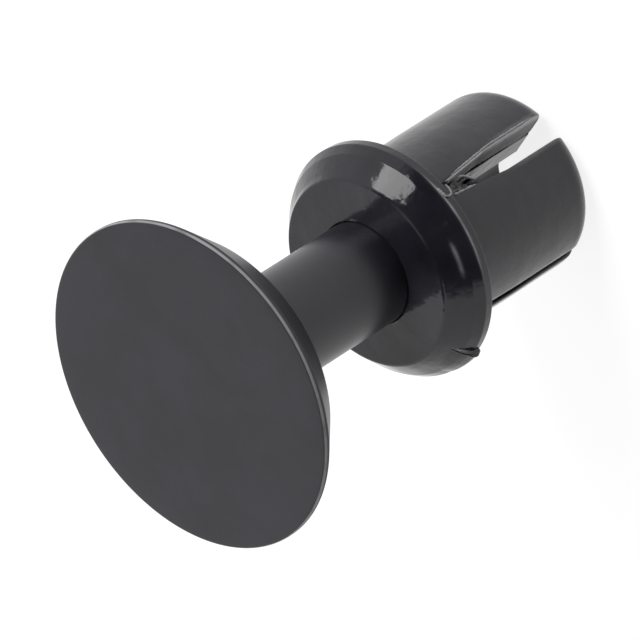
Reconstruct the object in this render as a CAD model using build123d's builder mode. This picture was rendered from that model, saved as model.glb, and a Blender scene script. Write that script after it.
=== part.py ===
from build123d import *
from math import cos, radians, sin
import os

# Plastic push rivet: a split sleeve that goes through two panels, and a headed pin that is
# pushed down its bore and wedges the four legs apart behind them. Millimetres. The rivet
# stands on the tips of its legs at z = 0, with the pin drawn out as supplied and its head up.

# Sleeve barrel, measured up from the tips of the legs
barrel_length = 6.85  # tips of the legs to the back of the collar
barrel_radius = 3.37  # straight part, which fills the panel hole
neck_relief = 0.07  # the legs are drawn in this much under the collar
neck_length = 3.0
root_round = 0.1  # where the barrel meets the collar
tip_round = 0.8

# Collar, which stops against the panel: a straight lip, a short steep shoulder and a cone
lip_overhang = 0.98  # beyond the barrel
lip_height = 0.35
shoulder_height = 0.35
shoulder_inset = 0.22
cone_height = 0.7
cone_inset = 0.65
collar_round = 0.1
shoulder_round = 0.3
lip_round = 0.05

# Four slots, cut crosswise through the barrel: a wide pair and a narrow pair
slot_root_gap = 0.78  # ring left whole between the collar and the slots
slot_width = 1.08
slot_straight = 3.2  # up from the tips; above it the wide slot narrows to its root
slot_root_radius = 0.29
narrow_slot_width = 0.48

# Bore, and the wedge inside each leg
bore_clearance = 0.03  # radial, round the pin
mouth_chamfer = 0.07
wedge_radius = 0.81  # of the hole left between the four wedges, at the foot of their ramps
wedge_draft = 0.08  # the hole opens this much towards the tips
wedge_length = 2.2  # its straight stretch, up from the tips
ramp_length = 1.5

# Parting-line flash left on the collar beside one slot
flash_azimuth = 181
flash_width = 0.13
flash_height = 0.28
flash_reach = 0.4  # up the cone from the shoulder
flash_root = 0.3  # how deep the fin is rooted in the collar

# Pin, measured down from the face of its head
head_radius = 6.0
head_rim = 0.25
head_bevel = 1.45
head_bevel_inset = 1.2
head_edge_round = 0.12
shank_radius = 1.9
shank_fillet = 0.05
nose_length = 0.6
nose_inset = 0.45
nose_gap = 0.75  # nose to the ramps of the wedges, as supplied
travel = 7.4  # collar to the underside of the head, as supplied

# What follows from those sizes
neck_radius = barrel_radius - neck_relief
lip_radius = barrel_radius + lip_overhang
shoulder_radius = lip_radius - shoulder_inset
collar_face_radius = shoulder_radius - cone_inset
lip_top = barrel_length + lip_height
cone_foot = lip_top + shoulder_height
sleeve_top = cone_foot + cone_height
bore_radius = shank_radius + bore_clearance
ramp_top = wedge_length + ramp_length
slot_root = barrel_length - slot_root_gap
slot_root_centre = slot_root - slot_root_radius
narrow_root_radius = narrow_slot_width / 2
nose_tip = ramp_top + nose_gap
head_underside = sleeve_top + travel
head_rim_foot = head_underside + head_bevel
head_face = head_rim_foot + head_rim

os.makedirs("parts", exist_ok=True)


def rings(part, radius, tolerance=1e-4):
    """Round edges of this radius about the axis, from the lowest to the highest."""
    circles = part.edges().filter_by(GeomType.CIRCLE)
    return circles.filter_by(lambda edge: abs(edge.radius - radius) < tolerance).sort_by(Axis.Z)


# The sleeve is moulded in one piece. Its section is revolved, its corners are broken, and the
# slots then part the barrel into four legs whose wedges nearly close the bore at their tips.
with BuildPart() as sleeve:
    with BuildSketch(Plane.XZ):
        with BuildLine():
            Polyline(
                (wedge_radius + wedge_draft, 0),
                (barrel_radius, 0),
                (barrel_radius, barrel_length - neck_length),
                (neck_radius, barrel_length),
                (lip_radius, barrel_length),
                (lip_radius, lip_top),
                (shoulder_radius, cone_foot),
                (collar_face_radius, sleeve_top),
                (bore_radius + mouth_chamfer, sleeve_top),
                (bore_radius, sleeve_top - mouth_chamfer),
                (bore_radius, ramp_top),
                (wedge_radius, wedge_length),
                close=True,
            )
        make_face()
    revolve(axis=Axis.Z)
    fillet(rings(sleeve, barrel_radius)[0], tip_round)
    fillet(rings(sleeve, neck_radius), root_round)
    fillet(rings(sleeve, lip_radius), lip_round)
    fillet(rings(sleeve, shoulder_radius), shoulder_round)
    fillet(rings(sleeve, collar_face_radius), collar_round)

    with BuildSketch(Plane.XZ):
        with BuildLine():
            Polyline(
                (-slot_width / 2, 0),
                (slot_width / 2, 0),
                (slot_width / 2, slot_straight),
                (slot_root_radius, slot_root_centre),
                (-slot_root_radius, slot_root_centre),
                (-slot_width / 2, slot_straight),
                close=True,
            )
        make_face()
        with Locations((0, slot_root_centre)):
            Circle(slot_root_radius)
    extrude(amount=lip_radius, both=True, mode=Mode.SUBTRACT)

    with BuildSketch(Plane.YZ):
        Rectangle(
            narrow_slot_width, slot_root - narrow_root_radius, align=(Align.CENTER, Align.MIN)
        )
        with Locations((0, slot_root - narrow_root_radius)):
            Circle(narrow_root_radius)
    extrude(amount=lip_radius, both=True, mode=Mode.SUBTRACT)

    flash_x = Vector(cos(radians(flash_azimuth)), sin(radians(flash_azimuth)), 0)
    cone_slope = cone_inset / cone_height
    with BuildSketch(Plane((0, 0, 0), x_dir=flash_x, z_dir=flash_x.cross(Vector(0, 0, 1)))):
        with BuildLine():
            Polyline(
                (lip_radius - flash_root, barrel_length + lip_round),
                (lip_radius, barrel_length + lip_round),
                (lip_radius + flash_height, lip_top),
                (shoulder_radius - cone_slope * flash_reach, cone_foot + flash_reach),
                (shoulder_radius - cone_slope * flash_reach - flash_root, cone_foot + flash_reach),
                close=True,
            )
        make_face()
    extrude(amount=flash_width / 2, both=True)
sleeve.part.label = "sleeve"
export_step(sleeve.part, "parts/sleeve.step")

# The pin is moulded in one piece: a wide flat head, bevelled underneath, which covers the
# collar when it is driven home, and a plain round shank with a tapered nose.
with BuildPart() as pin:
    with BuildSketch(Plane.XZ):
        with BuildLine():
            Polyline(
                (0, nose_tip),
                (shank_radius - nose_inset, nose_tip),
                (shank_radius, nose_tip + nose_length),
                (shank_radius, head_underside),
                (head_radius - head_bevel_inset, head_underside),
                (head_radius, head_rim_foot),
                (head_radius, head_face),
                (0, head_face),
                close=True,
            )
        make_face()
    revolve(axis=Axis.Z)
    fillet(rings(pin, head_radius)[-1], head_edge_round)
    fillet(rings(pin, shank_radius)[-1], shank_fillet)
pin.part.label = "pin"
export_step(pin.part, "parts/pin.step")
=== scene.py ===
import math

import bmesh
import bpy
import numpy as np
from mathutils import Matrix, Vector


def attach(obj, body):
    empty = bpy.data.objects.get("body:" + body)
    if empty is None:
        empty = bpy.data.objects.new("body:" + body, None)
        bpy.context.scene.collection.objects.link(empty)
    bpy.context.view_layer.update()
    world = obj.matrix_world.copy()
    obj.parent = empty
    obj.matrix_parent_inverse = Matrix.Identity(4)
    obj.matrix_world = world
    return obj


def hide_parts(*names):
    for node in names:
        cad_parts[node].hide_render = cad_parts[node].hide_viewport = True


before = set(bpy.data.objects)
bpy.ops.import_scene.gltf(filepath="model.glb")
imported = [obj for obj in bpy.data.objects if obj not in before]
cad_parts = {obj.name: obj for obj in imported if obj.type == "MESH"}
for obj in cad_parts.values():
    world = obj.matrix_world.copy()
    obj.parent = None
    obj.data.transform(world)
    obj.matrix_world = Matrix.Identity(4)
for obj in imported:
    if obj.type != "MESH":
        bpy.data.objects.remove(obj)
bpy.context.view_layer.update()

# Pin: a wide flat head, bevelled underneath, on a plain round shank with a tapered nose. Moulded in
# one shot of black nylon. The head's face comes from a finely blasted mould, and its sharp rim is
# painted pale as a highlight. Lengths are in millimetres until a mesh is made.
MM = 0.001
HEAD_RADIUS = 6.0
HEAD_FACE = 17.35
HEAD_RIM_FOOT = 17.1
HEAD_UNDERSIDE = 15.65
UNDERSIDE_RADIUS = 4.8
SHANK_RADIUS = 1.9
NOSE_TIP = 4.45
NOSE_LENGTH = 0.6
NOSE_RADIUS = 1.45
FACE_DROP = 0.045  # how far the face has sunk at its edge, where the thick plastic shrank
FACE_ROLL = 0.4  # over what width
FACE_INSET = 0.16  # from the rim to where the face's profile gives way to the rim's round
BEVEL_POLISH = 0.6
PAINTED_LIGHT_TOP = 6.6  # the end below this height is painted paler: painted light in the dark bore
PAINTED_LIGHT_SHARE = 0.22
PIN_COLUMNS = 256
PIN_STEP = 0.25  # the longest along its profile


def rounded(corners, steps=7, support=0.02):
    """A profile with rounded corners. Each corner is (r, z, radius). Its arc starts and ends at the
    tangent length, radius times tan(half the turn), from the corner, and runs round the centre that
    lies on the bisector. A support point just outside each end keeps the flats flat."""
    corners = np.array(corners, float)
    spots, radii = corners[:, :2], corners[:, 2]
    path = [spots[0]]
    for before, spot, after, radius in zip(spots[:-2], spots[1:-1], spots[2:], radii[1:-1]):
        back = (before - spot) / np.linalg.norm(before - spot)
        ahead = (after - spot) / np.linalg.norm(after - spot)
        half = math.acos(np.clip(back @ ahead, -1, 1)) / 2
        reach = radius / math.tan(half) + support
        bisector = (back + ahead) / np.linalg.norm(back + ahead)
        across = (ahead - back) / np.linalg.norm(ahead - back)
        sweep = np.linspace(half - math.pi / 2, math.pi / 2 - half, steps)[:, None]
        centre = spot + bisector * radius / math.sin(half)
        arc = centre + radius * (across * np.sin(sweep) - bisector * np.cos(sweep))
        path += [spot + back * reach, *arc, spot + ahead * reach]
    return np.array([*path, spots[-1]])


def divided(path, longest):
    """The same line with its long runs divided, so that no step is longer than this."""
    runs = np.linalg.norm(np.diff(path, axis=0), axis=1)
    parts = [np.linspace(start, end, max(1, math.ceil(run / longest)), endpoint=False)
             for start, end, run in zip(path[:-1], path[1:], runs)]
    return np.vstack([*parts, path[-1:]])


def grid_faces(rows, columns):
    """Quads between neighbouring points of a grid whose last column meets its first."""
    spots = np.arange(rows * columns).reshape(rows, columns)
    spots = np.hstack([spots, spots[:, :1]])
    corners = spots[:-1, :-1], spots[:-1, 1:], spots[1:, 1:], spots[1:, :-1]
    return np.stack(corners, -1).reshape(-1, 4)


def turned(path, angles):
    """A profile carried once round the Z axis: (r cos angle, r sin angle, z) at every angle."""
    r, z = path[:, :1], path[:, 1:]
    points = np.stack([r * np.cos(angles), r * np.sin(angles), z + 0 * angles], -1)
    return points.reshape(-1, 3), grid_faces(len(path), len(angles))


def moulding(name, shells, body, node, material):
    """One smooth mesh of closed shells of (points, faces, finish), welded where they meet, that
    stands for a CAD node and moves with its body. The finish is (polish, paleness) at every point,
    where the paleness is wear and painted light."""
    points = np.vstack([shell[0] for shell in shells]) * MM
    starts = np.cumsum([0] + [len(shell[0]) for shell in shells[:-1]])
    faces = np.vstack([shell[1] + start for shell, start in zip(shells, starts)])
    finish = np.vstack([shell[2] for shell in shells])
    mesh = bpy.data.meshes.new(name)
    mesh.from_pydata(points, [], faces.tolist())
    for column, label in enumerate(("polish", "wear_and_painted_light")):
        values = np.ascontiguousarray(finish[:, column], dtype=np.float32)
        mesh.attributes.new(label, "FLOAT", "POINT").data.foreach_set("value", values)
    form = bmesh.new()
    form.from_mesh(mesh)
    bmesh.ops.remove_doubles(form, verts=form.verts, dist=0.0002 * MM)
    bmesh.ops.dissolve_degenerate(form, edges=form.edges, dist=0.00001 * MM)
    bmesh.ops.recalc_face_normals(form, faces=form.faces)
    form.to_mesh(mesh)
    form.free()
    mesh.shade_smooth()
    mesh.materials.append(material)
    piece = bpy.data.objects.new(name, mesh)
    bpy.context.collection.objects.link(piece)
    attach(piece, body)
    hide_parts(node)


class Shade:
    """A value inside a node tree. Arithmetic on it adds Math nodes, and add() makes any other node."""

    def __init__(self, tree, socket=None):
        self.tree = tree
        self.socket = socket

    def add(self, kind, settings={}, sockets={}, output=0):
        """A node of this kind: its settings are made first, then its sockets are set or linked."""
        node = self.tree.nodes.new(kind)
        for name, value in settings.items():
            setattr(node, name, value)
        for name, value in sockets.items():
            if isinstance(value, Shade):
                self.tree.links.new(value.socket, node.inputs[name])
            else:
                node.inputs[name].default_value = value
        return Shade(self.tree, node.outputs[output] if len(node.outputs) else None)

    def maths(self, operation, first, second):
        """One Math node on two values, either of which may be a plain number."""
        return self.add("ShaderNodeMath", {"operation": operation}, {0: first, 1: second})

    def __add__(self, other):
        return self.maths("ADD", self, other)

    def __radd__(self, other):
        return self.maths("ADD", other, self)

    def __sub__(self, other):
        return self.maths("SUBTRACT", self, other)

    def __rsub__(self, other):
        return self.maths("SUBTRACT", other, self)

    def __mul__(self, other):
        return self.maths("MULTIPLY", self, other)

    def __rmul__(self, other):
        return self.maths("MULTIPLY", other, self)


def new_shade(holder):
    """An empty node tree on a material or a world."""
    holder.use_nodes = True
    holder.node_tree.nodes.clear()
    return Shade(holder.node_tree)


def moulded(name, colour, index, rough, polished, grain_height, wave_height, drag_height):
    """Moulded nylon. Its polish runs from 0, as cast, to 1, as left by a polished mould, and takes
    its roughness and its grain with it. Slow waves come from shrinking, and faces without polish
    have the drag marks of a core that was drawn out along Z. Where its paleness attribute is high it
    turns pale: partly as wear, partly as painted light and painted highlights.
    The heights are in millimetres, and the noises' scales are per metre."""
    material = bpy.data.materials.new(name)
    shade = new_shade(material)
    place = shade.add("ShaderNodeTexCoord", output="Object")
    polish = shade.add("ShaderNodeAttribute", {"attribute_name": "polish"}, output="Fac")
    wear_and_painted_light = shade.add("ShaderNodeAttribute", {"attribute_name": "wear_and_painted_light"}, output="Fac")

    def noise(scale, detail, vector=place):
        """Fractal noise over the piece, from 0 to 1."""
        return shade.add("ShaderNodeTexNoise", {}, {"Vector": vector, "Scale": scale, "Detail": detail})

    def mixed(share, first, second):
        """A colour this share of the way from the first to the second: sockets 6 and 7, output 2."""
        return shade.add("ShaderNodeMix", {"data_type": "RGBA"}, {0: share, 6: first, 7: second}, 2)

    cloud = noise(500.0, 4.0)
    drawn = shade.add("ShaderNodeMapping", {}, {"Vector": place, "Scale": (1, 1, 0.06)})
    waves, grain, drags = noise(1100.0, 3.0), noise(8000.0, 2.0), noise(5000.0, 2.0, drawn)
    cast = 1 - polish
    height = (waves * (wave_height * MM) + grain * cast * (grain_height * MM)
              + drags * cast * (drag_height * MM))
    bump = shade.add("ShaderNodeBump", {}, {"Strength": 1.0, "Distance": 1.0, "Height": height})
    mottle = shade.add("ShaderNodeClamp", {}, {"Value": (cloud - 0.5) * 3 + 0.5})
    darker, lighter = [(*[part * share for part in colour], 1) for share in (0.7, 1.3)]
    pale = (0.5, 0.5, 0.51, 1)
    # paleness from wear and from painted light and painted highlights
    pale_share = shade.add("ShaderNodeClamp", {}, {"Value": wear_and_painted_light * (noise(1500.0, 2.0) * 1.6 + 0.2)})
    surface = shade.add("ShaderNodeBsdfPrincipled", {}, {
        "Base Color": mixed(pale_share, mixed(mottle, darker, lighter), pale), "IOR": index, "Normal": bump,
        "Roughness": polish * (polished - rough) + rough + (cloud - 0.5) * 0.08})
    shade.add("ShaderNodeOutputMaterial", {}, {"Surface": surface})
    return material


# the face sinks towards its edge by an exponential, and the rest of the profile is straight
face_r = np.linspace(0, 1, 60) ** 0.5 * (HEAD_RADIUS - FACE_INSET)
face_z = HEAD_FACE - FACE_DROP * np.exp((face_r - HEAD_RADIUS) / FACE_ROLL)
rest = rounded([
    (face_r[-1], face_z[-1], 0),
    (HEAD_RADIUS, HEAD_FACE - FACE_DROP, 0.1),
    (HEAD_RADIUS, HEAD_RIM_FOOT, 0.05),
    (UNDERSIDE_RADIUS, HEAD_UNDERSIDE, 0.06),
    (SHANK_RADIUS, HEAD_UNDERSIDE, 0.05),
    (SHANK_RADIUS, NOSE_TIP + NOSE_LENGTH, 0.15),
    (NOSE_RADIUS, NOSE_TIP, 0.1),
    (0, NOSE_TIP, 0)])
pin_profile = divided(np.vstack([np.stack([face_r, face_z], -1), rest[1:]]), PIN_STEP)
points, faces = turned(pin_profile, np.linspace(0, 2 * np.pi, PIN_COLUMNS, endpoint=False))
r, z = np.hypot(points[:, 0], points[:, 1]), points[:, 2]
# the head is as cast, its bevel is part polished and the shank is polished; the rim is painted
# pale as a highlight
on_head = (r > UNDERSIDE_RADIUS - 0.1) | (z > HEAD_RIM_FOOT)
polish = np.where(on_head, np.where(z < HEAD_RIM_FOOT - 0.02, BEVEL_POLISH, 0.0), 1.0)
# the rim's paleness is a painted highlight along its edge
rim = (r > HEAD_RADIUS - 0.03) & (z > HEAD_RIM_FOOT + 0.1)
# the end inside the bore is painted paler, as painted light seen through the slots
wear_and_painted_light = np.where(rim, 1.0, np.where(z < PAINTED_LIGHT_TOP, PAINTED_LIGHT_SHARE, 0.0))
pin_nylon = moulded(
    "pin_nylon", colour=(0.026, 0.0252, 0.0335), index=1.5, rough=0.5, polished=0.32,
    grain_height=0.004, wave_height=0.004, drag_height=0.0)
shell = points, faces, np.stack([polish, wear_and_painted_light], -1)
moulding("pin_moulding", [shell], "pin", "pin", pin_nylon)

# Sleeve: a collar with a lip, a steep shoulder and a cone, and a round barrel that four slots part
# into legs, each with a wedge inside its tip. Moulded in one shot of black nylon. The collar comes
# from a polished part of the mould, and flash is left where the mould and its core close.
BARREL_LENGTH = 6.85
BARREL_RADIUS = 3.37
NECK_RADIUS = 3.3
NECK_FOOT = 3.85
TIP_ROUND = 0.8
LIP_RADIUS = 4.35
LIP_TOP = 7.2
SHOULDER_RADIUS = 4.13
CONE_FOOT = 7.55
COLLAR_FACE_RADIUS = 3.48
SLEEVE_TOP = 8.25
BORE_RADIUS = 1.93
WEDGE_RADIUS = 0.81
WEDGE_MOUTH = 0.89
WEDGE_LENGTH = 2.2
MOUTH_ROUND = 0.06
RAMP_TOP = 3.7
SLOT_ROOT = 6.07
WIDE_SLOT = (0.54, 3.2, 0.29)  # half its width, where it starts to narrow, its root's radius
NARROW_SLOT = (0.24, 3.2, 0.24)
SLOT_EDGE = 0.06
BORE_EDGE = 0.03
GROOVE_DEPTH = 0.05
GROOVE_WIDTH = 0.06
BARREL_POLISH = 0.75
DUST_AND_PAINTED_LIGHT = 0.12  # paleness where not polished: dust, and painted light in the slots and bore
WALL_PAINTED_LIGHT = 0.3  # painted light on the slots' walls, fading in below a height and beyond a radius
WALL_LIGHT_TOP, WALL_LIGHT_FADE = 3.4, 1.2
WALL_LIGHT_RADIUS, WALL_LIGHT_EDGE = 2.4, 0.4
TIP_STEP = 0.12
ROW_STEP = 0.1
SKIN_COLUMNS = 31
WALL_COLUMNS = 46


def slot_half(z, slot):
    """Half a slot's width at a height: constant, then narrowing in a straight line to the foot of
    its round root, then the half circle of the root."""
    half, straight, root = slot
    centre = SLOT_ROOT - root
    taper = np.interp(z, [0, straight, centre], [half, half, root])
    arch = np.sqrt(np.clip(root ** 2 - (z - centre) ** 2, 0, None))
    return np.where(z > centre, arch, taper)


outside = rounded([
    (WEDGE_MOUTH + MOUTH_ROUND, 0, 0),
    (BARREL_RADIUS, 0, TIP_ROUND),
    (BARREL_RADIUS, NECK_FOOT, 0.5),
    (NECK_RADIUS, BARREL_LENGTH, 0)], 15)
inside = rounded([
    (WEDGE_MOUTH, MOUTH_ROUND, 0),
    (WEDGE_RADIUS, WEDGE_LENGTH, 0.2),
    (BORE_RADIUS, RAMP_TOP, 0.2),
    (BORE_RADIUS, SLEEVE_TOP, 0)])


def at_heights(heights, path):
    """Points of a profile at these heights, on straight lines between its own."""
    return np.stack([np.interp(heights, path[:, 1], path[:, 0]), heights], -1)


def mouth_round(start, end):
    """Part of the quarter round at the wedge's mouth, from 0, underneath, to 1, inside."""
    turn = np.linspace(start, end, 5) * np.pi / 2
    inward, upward = MOUTH_ROUND * (1 - np.sin(turn)), MOUTH_ROUND * (1 - np.cos(turn))
    return np.stack([WEDGE_MOUTH + inward, upward], -1)


# The leg's rows: each has one point outside and one inside. They start together in the middle of the
# mouth's round, part round the tip, and then climb level to the root of the slots.
under_tip = outside[outside[:, 1] < TIP_ROUND - 1e-6]
tip_out = np.vstack([mouth_round(0.5, 0)[:-1], divided(under_tip, TIP_STEP)])
tip_in = mouth_round(0.5, 1)
heights = np.linspace(MOUTH_ROUND, TIP_ROUND, len(tip_out) - len(tip_in) + 2)[1:-1]
tip_in = np.vstack([tip_in, at_heights(heights, inside)])
arch_turn = np.linspace(0, np.pi / 2, 13)
climb = np.unique(np.round(np.concatenate([
    np.arange(TIP_ROUND, SLOT_ROOT - WIDE_SLOT[2] - 0.02, ROW_STEP),
    SLOT_ROOT - WIDE_SLOT[2] * (1 - np.sin(arch_turn)),
    SLOT_ROOT - NARROW_SLOT[2] * (1 - np.sin(arch_turn))]), 5))
outer = np.vstack([tip_out, at_heights(climb, outside)])
inner = np.vstack([tip_in, at_heights(climb, inside)])
depth = np.maximum(np.linalg.norm(inner - outer, axis=1)[:, None], 1e-6)


def on_wall(share, slot, groove=0.0):
    """Points of a slot's flat wall: this share of the way from the barrel's outside to its bore
    along each row, at the slot's half width from the plane through the axis. A groove with the
    section of a bell curve follows the bore, where the wedge meets the barrel's wall."""
    r, z = np.moveaxis(outer[:, None] + share[..., None] * (inner - outer)[:, None], -1, 0)
    y = slot_half(z, slot)
    sunk = groove * np.exp(-((r - BORE_RADIUS) / GROOVE_WIDTH) ** 2) * (z < RAMP_TOP)
    y = np.minimum(y + np.minimum(sunk, 0.4 * y), r * 0.999)
    return np.stack([np.sqrt(r ** 2 - y ** 2), y, z], -1)


def on_skin(path, slots, beyond, across):
    """Points of the barrel's outside or its bore between two slots: across runs from 0 at a distance
    beyond the first slot's edge to 1 at a distance before the second's."""
    r, z = path[:, :1], path[:, 1:]
    near, far = [np.arcsin(np.minimum(slot_half(z, slot) / r, 0.999)) + gap / r
                 for slot, gap in zip(slots, beyond)]
    angle = near + across * (np.pi / 2 - near - far)
    return np.stack([r * np.cos(angle), r * np.sin(angle), z + 0 * angle], -1)


def edge_arc(on_a, corner, on_b, steps=5):
    """A quarter round from one surface to the other: the rational curve of three points whose middle
    one, the sharp corner, has the weight of a right angle's cosine."""
    t = np.linspace(0, 1, steps)[None, :, None]
    weight = math.sqrt(0.5)
    top = (1 - t) ** 2 * on_a + 2 * weight * t * (1 - t) * corner + t ** 2 * on_b
    return top / ((1 - t) ** 2 + 2 * weight * t * (1 - t) + t ** 2)


def edge_rounds(slot):
    """How far the rounded edges reach, outside and at the bore: their radius, but at most a quarter
    of the leg's depth and half of the slot's half width."""
    return [np.minimum(np.minimum(radius, 0.25 * depth), 0.5 * slot_half(path[:, 1], slot)[:, None])
            for radius, path in ((SLOT_EDGE, outer), (BORE_EDGE, inner))]


def leg(slots):
    """One leg between two slots, as rows of points round its section: the first slot's wall, the
    bore, the second slot's wall and the outside. Each point also has its finish."""
    ends = [edge_rounds(slot) for slot in slots]
    along_skin, along_wall = np.linspace(0, 1, SKIN_COLUMNS)[None], np.linspace(0, 1, WALL_COLUMNS)[None]
    skin_out = on_skin(outer, slots, [end[0] for end in ends], along_skin)
    skin_in = on_skin(inner, slots, [end[1] for end in ends], along_skin)
    sides = []
    for slot, (out_round, in_round), mirror in zip(slots, ends, (False, True)):
        first, last = out_round / depth, 1 - in_round / depth
        wall = on_wall(first + along_wall * (last - first), slot, GROOVE_DEPTH)
        corner_out, corner_in = on_wall(0 * first, slot), on_wall(0 * first + 1, slot)
        skin_ends = skin_out[:, :1], skin_in[:, :1]
        if mirror:
            skin_ends = [points[:, -1:][..., [1, 0, 2]] for points in (skin_out, skin_in)]
        arc_out = edge_arc(skin_ends[0], corner_out, wall[:, :1])
        arc_in = edge_arc(wall[:, -1:], corner_in, skin_ends[1])
        sides.append(np.concatenate([arc_out[:, :-1], wall, arc_in[:, 1:]], 1))
    far_side = sides[1][:, ::-1][..., [1, 0, 2]]
    points = np.concatenate([sides[0], skin_in[:, 1:-1], far_side, skin_out[:, ::-1][:, 1:-1]], 1)
    # the bore is part polished, the slots' walls are as cast, and the outside has its own polish
    radius = np.hypot(points[..., 0], points[..., 1])
    polish = np.interp(radius, [BORE_RADIUS, BORE_RADIUS + 0.1, 2.7, 3.0], [0.7, 0, 0.1, BARREL_POLISH])
    # paleness on the unpolished walls and bore: partly dust, partly painted light
    wear_and_painted_light = np.where(radius < BORE_RADIUS - 0.01, 0, DUST_AND_PAINTED_LIGHT * (1 - polish))
    walls = np.repeat([1, 0, 1, 0], [sides[0].shape[1], SKIN_COLUMNS - 2] * 2)
    # painted light on the slots' walls towards the open tips, where light comes in
    low, outward = (WALL_LIGHT_TOP - points[..., 2]) / WALL_LIGHT_FADE, (radius - WALL_LIGHT_RADIUS) / WALL_LIGHT_EDGE
    wear_and_painted_light += WALL_PAINTED_LIGHT * walls * np.clip(low, 0, 1) * np.clip(outward, 0, 1)
    return points, np.stack([polish, wear_and_painted_light], -1)


quarter_turns = [np.array([(c, -s, 0), (s, c, 0), (0, 0, 1)])
                 for c, s in ((1, 0), (0, 1), (-1, 0), (0, -1))]
shells = []
for turn, slots in zip(quarter_turns, [(NARROW_SLOT, WIDE_SLOT), (WIDE_SLOT, NARROW_SLOT)] * 2):
    points, finish = leg(slots)
    shells.append((points.reshape(-1, 3) @ turn.T, grid_faces(*points.shape[:2]), finish.reshape(-1, 2)))

# The burr that the slots' core left: a bead up one edge of each wide slot and a short lumpy one on
# the other. At the front slot's root one thread of it loops down from the collar's lip, and another
# crosses the slot. Each line is (across the slot, height, lift off the barrel).
BURR_RADIUS = 0.04
THREAD_RADIUS = 0.045
BURR_COLUMNS = 10
BURR_TAPER = 0.12  # share of a bead's length over which it tapers at either end
BURR_FINISH = (0.5, 1.0)  # polish, and full paleness: a painted highlight along the burrs and threads
LUMPS = (5.7, 5.45, 5.06)  # their heights on the short edge
LUMP_WIDTH = 0.08


def bend(controls, steps):
    """A Bezier curve: each pass blends neighbouring points, a share t of the way, until one is left."""
    t = np.linspace(0, 1, steps)[:, None, None]
    points = np.array(controls)[None]
    while points.shape[1] > 1:
        points = points[:, :-1] + t * (points[:, 1:] - points[:, :-1])
    return points[:, 0]


def bead(line, thickness):
    """Rings of points round a line, square to it. The thickness follows the product of two sines
    along the line, and the square root of the distance to the nearer end where it tapers."""
    across, height, lift = line.T
    skin = np.interp(height, outside[:, 1], outside[:, 0]) + lift
    spine = np.stack([np.sqrt(skin ** 2 - across ** 2), across, height], -1)
    ahead = np.gradient(spine, axis=0)
    ahead /= np.linalg.norm(ahead, axis=1)[:, None]
    aside = np.cross(ahead, spine * (1, 1, 0))
    aside /= np.linalg.norm(aside, axis=1)[:, None]
    out = np.cross(aside, ahead)
    place = np.linspace(0, 1, len(line))
    taper = np.clip(np.minimum(place, 1 - place) / BURR_TAPER, 0, 1) ** 0.5
    uneven = 1 + 0.3 * np.sin(97 * place) * np.sin(41 * place + 1)
    ring = np.linspace(0, 2 * np.pi, BURR_COLUMNS, endpoint=False)[:, None]
    around = np.cos(ring) * out[:, None] + np.sin(ring) * aside[:, None]
    points = spine[:, None] + (thickness * taper * uneven)[:, None, None] * around
    return points.reshape(-1, 3), grid_faces(len(line), BURR_COLUMNS)


edge, straight = WIDE_SLOT[:2]
long_edge = divided(np.array([(edge, 0.75, 0), (edge, straight, 0), (0.34, 5.35, 0)]), 0.06)
short_edge = divided(np.array([(-0.3, 5.85, 0), (-0.4, 4.75, 0)]), 0.04)
lumps = 1 + 0.9 * np.exp(-((short_edge[:, 1, None] - LUMPS) / LUMP_WIDTH) ** 2).sum(1)
beads = [bead(long_edge, BURR_RADIUS), bead(short_edge, 0.7 * BURR_RADIUS * lumps)]
along_lip = bend([(-0.1, 7.17, 1.14), (-0.32, 7.17, 1.15), (-0.54, 7.12, 1.18)], 14)
off_lip = bend([(-0.51, 7.13, 1.18), (-0.66, 6.95, 1.25), (-0.3, 6.2, 0.5), (0.18, 5.85, 0.05)], 30)
over_slot = bend([(0.14, 5.2, 0.03), (0.1, 4.85, 0.03), (-0.1, 4.9, 0.03), (-0.28, 4.6, 0.03)], 24)
threads = [bead(along_lip, THREAD_RADIUS), bead(off_lip, THREAD_RADIUS), bead(over_slot, BURR_RADIUS)]
front, rear = quarter_turns[3], quarter_turns[1]
for turn, burrs in ((rear, beads), (front, beads + threads)):
    for points, faces in burrs:
        shells.append((points @ turn.T, faces, np.tile(BURR_FINISH, (len(points), 1))))

# The rag: a web of flash that hangs from the front slot's root, set back from the outside. Its length
# falls off across the slot with a few waves on top, its folds are the product of two sines, and its
# two skins meet at its end.
RAG_RADIUS = 3.12
RAG_THICKNESS = 0.03
RAG_SLOPE = 0.1  # how far its end hangs inwards
RAG_OVERLAP = 0.1  # into the slot's root, and less into its walls
RAG_FINISH = (0.6, 0.13)  # polish, wear
share = np.linspace(-1, 1, 25)
drop = np.linspace(0, 1, 40)[:, None]
hang = 1.3 - 0.45 * share + 0.15 * np.sin(6 * share + 0.5) + 0.08 * np.sin(15 * share)
height = SLOT_ROOT + RAG_OVERLAP - drop * hang
across = share * (slot_half(height, WIDE_SLOT) + 0.4 * RAG_OVERLAP)
folds = 0.07 * np.sin(8 * height + 2 * share) * np.sin(6 * share + 1)
thickness = RAG_THICKNESS * (1 - drop ** 4) * (drop > 0)
skin = RAG_RADIUS + folds - RAG_SLOPE * drop
skin = np.concatenate([skin + thickness, (skin - thickness)[:, ::-1]], 1)
across, height = [np.concatenate([part, part[:, ::-1]], 1) for part in (across, height)]
points = np.stack([np.sqrt(skin ** 2 - across ** 2), across, height], -1).reshape(-1, 3)
shells.append((points @ front.T, grid_faces(*skin.shape), np.tile(RAG_FINISH, (len(points), 1))))

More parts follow.
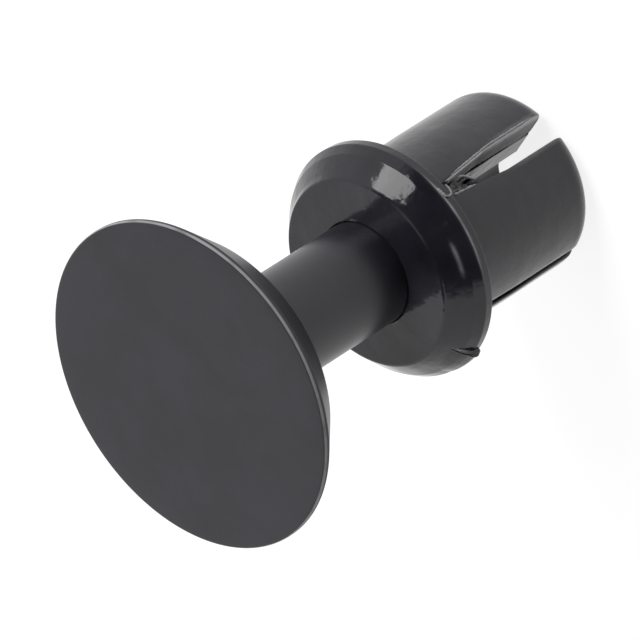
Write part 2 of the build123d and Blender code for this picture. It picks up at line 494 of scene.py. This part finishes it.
# The collar, with the ring that joins the legs. Its half of the mould sat a little off centre. A few
# small places are painted pale as highlights and glints: each is its r, z and spread, its azimuth
# and reach, its strength.
COLLAR_SHIFT = np.array([-0.09, -0.08, 0])
COLLAR_BLEND = 0.3  # outwards from the barrel, to where the shift is whole
COLLAR_COLUMNS = 4 * (SKIN_COLUMNS - 1)  # so that the ring meets the legs point for point
COLLAR_STEP = 0.06
PAINTED_HIGHLIGHTS = [
    # painted highlights: the lip's edge, the face's edge, a streak on the cone, two glints at the bore
    (LIP_RADIUS - 0.01, LIP_TOP - 0.01, 0.035, -1.9, 0.42, 1.0),
    (COLLAR_FACE_RADIUS - 0.03, SLEEVE_TOP - 0.03, 0.03, -1.66, 0.25, 0.3),
    (3.98, 7.73, 0.06, -2.16, 0.13, 0.75),
    (BORE_RADIUS + 0.03, SLEEVE_TOP, 0.05, 2.84, 0.08, 0.4),
    (BORE_RADIUS + 0.03, SLEEVE_TOP, 0.05, -0.78, 0.08, 0.3)]
collar = divided(rounded([
    (np.interp(SLOT_ROOT, outside[:, 1], outside[:, 0]), SLOT_ROOT, 0),
    (NECK_RADIUS, BARREL_LENGTH, 0.1),
    (LIP_RADIUS, BARREL_LENGTH, 0.05),
    (LIP_RADIUS, LIP_TOP, 0.1),
    (SHOULDER_RADIUS, CONE_FOOT, 0.3),
    (COLLAR_FACE_RADIUS, SLEEVE_TOP, 0.16),
    (BORE_RADIUS, SLEEVE_TOP, 0.03),
    (BORE_RADIUS, SLOT_ROOT, 0)]), COLLAR_STEP)


def off_centre(points):
    """The collar outside the barrel moves by its shift, and the ring inside it stays. Between them
    the shift grows in a straight line."""
    share = np.clip((np.hypot(points[:, 0], points[:, 1]) - BARREL_RADIUS) / COLLAR_BLEND, 0, 1)
    return points + share[:, None] * COLLAR_SHIFT


points, faces = turned(collar, np.linspace(0, 2 * np.pi, COLLAR_COLUMNS, endpoint=False))
x, y, z = points.T
azimuth, r = np.arctan2(y, x), np.hypot(x, y)
polish = np.where(r < BORE_RADIUS + 0.01, 0.0, np.where(z < BARREL_LENGTH - 0.05, BARREL_POLISH, 1.0))
# a bell curve across each painted highlight, and one with a flatter top along it
wear_and_painted_light = sum(
    strength * np.exp(-((r - highlight_r) ** 2 + (z - highlight_z) ** 2) / spread ** 2
                      - (np.angle(np.exp(1j * (azimuth - at))) / reach) ** 4)
    for highlight_r, highlight_z, spread, at, reach, strength in PAINTED_HIGHLIGHTS)
shells.append((off_centre(points), faces, np.stack([polish, wear_and_painted_light], -1)))

# The flash on the collar: where the mould's halves close, one side stands proud in a low step that
# fades out behind it, with a thin fin along the step and a pale patch at its foot.
FLASH_AZIMUTH = math.radians(181)
FLASH_FROM_RADIUS = 3.75
FLASH_HALF = 0.12  # from the fin to the step's steep side
FLASH_TAIL = 1.7  # from the fin to where the step has faded out
FLASH_PAD = 0.15  # the step's height
FLASH_FIN = 0.1  # the fin's, on top of it
FLASH_THICKNESS = 0.032
FLASH_ROOT = 0.15  # how deep it reaches into the collar
FIN_PLACES = (0, 0.15, 0.62, 0.74, 0.8, 1)  # down the collar's side, as shares of the way
FIN_HEIGHTS = (0, 0.3, 0.4, 1, 0.9, 0)  # there, as shares of the whole height
FLASH_PALE_PATCH = (0.11, 0.35)  # its middle, across and down
FLASH_PALE_PATCH_REACH = (0.05, 0.25)
side = collar[(collar[:, 0] > FLASH_FROM_RADIUS) & (collar[:, 1] > BARREL_LENGTH + 0.1)][::-1]
run = np.concatenate([[0], np.cumsum(np.linalg.norm(np.diff(side, axis=0), axis=1))])
down = np.linspace(0, 1, 31)[:, None]
spine = np.stack([np.interp(down[:, 0] * run[-1], run, side[:, k]) for k in (0, 1)], -1)
along = np.gradient(spine, axis=0)
normal = np.stack([-along[:, 1], along[:, 0]], -1) / np.linalg.norm(along, axis=1)[:, None]
tail = np.linspace(-FLASH_TAIL, -FLASH_HALF, 16)[:-1]
across = np.concatenate([tail, np.linspace(-1, 1, 41) * FLASH_HALF])
step = np.where(across > 0, 1 - (across / FLASH_HALF) ** 8, (1 + across / FLASH_TAIL) ** 0.7)
ragged = 1 + 0.15 * np.sin(23 * down + 1) * np.sin(9 * down)
fin = np.interp(down, FIN_PLACES, FIN_HEIGHTS) * ragged * np.exp(-np.abs(across / FLASH_THICKNESS) ** 3)
lift = FLASH_PAD * np.clip(down / 0.6, 0, 1) * step + FLASH_FIN * fin - 0.02
lift = np.concatenate([lift, np.full_like(lift, -FLASH_ROOT)], 1)
lift[[0, -1]] = -0.1  # both ends close under the collar's skin
across = np.concatenate([across, across[::-1]])
sweep = across / LIP_RADIUS + FLASH_AZIMUTH
r, z = spine[:, :1] + lift * normal[:, :1], spine[:, 1:] + lift * normal[:, 1:]
points = np.stack([r * np.cos(sweep), r * np.sin(sweep), z], -1)
pale_patch = np.exp(-((across - FLASH_PALE_PATCH[0]) / FLASH_PALE_PATCH_REACH[0]) ** 2
               - ((down - FLASH_PALE_PATCH[1]) / FLASH_PALE_PATCH_REACH[1]) ** 2)
finish = np.stack([np.ones_like(pale_patch), pale_patch], -1).reshape(-1, 2)
shells.append((off_centre(points.reshape(-1, 3)), grid_faces(*lift.shape), finish))
sleeve_nylon = moulded(
    "sleeve_nylon", colour=(0.0285, 0.027, 0.0375), index=1.46, rough=0.45, polished=0.12,
    grain_height=0.004, wave_height=0.032, drag_height=0.02)
moulding("sleeve_moulding", shells, "sleeve", "sleeve", sleeve_nylon)

# Floor: a sheet of white paper, in metres, laid just clear of the tips. It is white to the camera and
# in reflections, and keeps the rivet's shadow.
FLOOR_HALF = 0.6
FLOOR_DROP = 0.02 * MM
PAPER_GREY = 0.5
PAPER_GLOW = 0.84
sheet = bpy.data.meshes.new("floor")
corners = np.array([(-1, -1, 0), (1, -1, 0), (1, 1, 0), (-1, 1, 0)]) * FLOOR_HALF
corners[:, 2] -= FLOOR_DROP
sheet.from_pydata(corners.tolist(), [], [(0, 1, 2, 3)])
floor = bpy.data.objects.new("floor", sheet)
bpy.context.collection.objects.link(floor)


def seen(shade):
    """1 for rays from the camera and for reflected and transmitted ones, 0 for diffuse light: the
    greatest of the three rays' flags."""
    ways = ("Is Camera Ray", "Is Glossy Ray", "Is Transmission Ray")
    camera_ray, glossy_ray, clear_ray = [shade.add("ShaderNodeLightPath", output=way) for way in ways]
    return shade.maths("MAXIMUM", shade.maths("MAXIMUM", camera_ray, glossy_ray), clear_ray)


paper = bpy.data.materials.new("white_paper")
shade = new_shade(paper)
matt = shade.add("ShaderNodeBsdfDiffuse", {}, {"Color": (PAPER_GREY, PAPER_GREY, PAPER_GREY, 1)})
glow = shade.add("ShaderNodeEmission", {}, {"Color": (1, 1, 1, 1), "Strength": seen(shade) * PAPER_GLOW})
both = shade.add("ShaderNodeAddShader", {}, {0: matt, 1: glow})
shade.add("ShaderNodeOutputMaterial", {}, {"Surface": both})
sheet.materials.append(paper)

# Light: a white studio that shows at full strength and lights at half, one soft box to the side, and
# a black cloth in a bowl round the camera that fades out towards its edge.
MIDDLE = Vector((0, 0, 9)) * MM
KEY_DIRECTION = Vector((0.6283, -0.5264, 0.5730)).normalized()
KEY_DISTANCE = 0.35
KEY_WIDTH = 0.165
KEY_RADIANCE = 6.3
CLOTH_RADIUS = 0.5
CLOTH_HOLE = math.radians(2)  # round the camera's line, in place of a pinched pole
CLOTH_FADE = math.radians(48)  # black up to here, and gone at the edge
CLOTH_EDGE = math.radians(60)
CLOTH_GREY = 0.03
VIEW_AZIMUTH = math.radians(-15.4)
VIEW_ELEVATION = math.radians(39.24)
aimed = Matrix.Rotation(VIEW_AZIMUTH, 3, "Z") @ Matrix.Rotation(math.pi / 2 - VIEW_ELEVATION, 3, "X")

world = bpy.data.worlds.new("studio")
bpy.context.scene.world = world
shade = new_shade(world)
sky = shade.add("ShaderNodeBackground", {}, {"Color": (1, 1, 1, 1), "Strength": seen(shade) * 0.5 + 0.5})
shade.add("ShaderNodeOutputWorld", {}, {"Surface": sky})

lamp = bpy.data.lights.new("key", "AREA")
lamp.shape = "SQUARE"
lamp.size = KEY_WIDTH
lamp.energy = KEY_RADIANCE * math.pi * KEY_WIDTH ** 2
key = bpy.data.objects.new("key", lamp)
key.location = MIDDLE + KEY_DIRECTION * KEY_DISTANCE
key.rotation_mode = "QUATERNION"
key.rotation_quaternion = KEY_DIRECTION.to_track_quat("Z", "Y")
bpy.context.collection.objects.link(key)

bowl_arc = np.linspace(CLOTH_HOLE, CLOTH_EDGE, 10)
bowl, bowl_faces = turned(np.stack([np.sin(bowl_arc), np.cos(bowl_arc)], -1) * CLOTH_RADIUS,
                          np.linspace(0, 2 * np.pi, 48, endpoint=False))
cloth_mesh = bpy.data.meshes.new("black_cloth")
cloth_mesh.from_pydata((bowl @ np.array(aimed).T + np.array(MIDDLE)).tolist(), [], bowl_faces.tolist())
cloth = bpy.data.objects.new("black_cloth", cloth_mesh)
bpy.context.collection.objects.link(cloth)
cloth.visible_camera = False
black = bpy.data.materials.new("black_cloth")
shade = new_shade(black)
place = shade.add("ShaderNodeTexCoord", output="Object")
off = shade.add("ShaderNodeVectorMath", {"operation": "SUBTRACT"}, {0: place, 1: MIDDLE})
inward = shade.add("ShaderNodeVectorMath", {"operation": "DOT_PRODUCT"}, {0: off, 1: aimed.col[2]}, 1)
cover = shade.add("ShaderNodeMapRange", {"interpolation_type": "SMOOTHSTEP"}, {
    0: inward, 1: CLOTH_RADIUS * math.cos(CLOTH_EDGE), 2: CLOTH_RADIUS * math.cos(CLOTH_FADE)})
velvet = shade.add("ShaderNodeBsdfDiffuse", {}, {"Color": (CLOTH_GREY, CLOTH_GREY, CLOTH_GREY, 1)})
clear = shade.add("ShaderNodeBsdfTransparent")
faded = shade.add("ShaderNodeMixShader", {}, {0: cover, 1: clear, 2: velvet})
shade.add("ShaderNodeOutputMaterial", {}, {"Surface": faded})
cloth_mesh.materials.append(black)

# Camera: a long lens that looks along the cloth's axis, rolled so that the rivet, which stands
# upright, lies across the picture with its head to the left.
AIM = Vector((-0.502, 0.111, 11.036)) * MM
CAMERA_DISTANCE = 254.5 * MM
CAMERA_ROLL = math.radians(-122.76)
camera = bpy.data.objects.new("camera", bpy.data.cameras.new("camera"))
camera.data.sensor_width = 36.0
camera.data.lens = 425.0
camera.data.clip_start = 0.01
camera.data.clip_end = 10.0
stand = Matrix.Translation(AIM + aimed.col[2] * CAMERA_DISTANCE)
camera.matrix_world = stand @ (aimed @ Matrix.Rotation(CAMERA_ROLL, 3, "Z")).to_4x4()
bpy.context.collection.objects.link(camera)
bpy.context.scene.camera = camera
bpy.context.scene.view_settings.view_transform = "Standard"
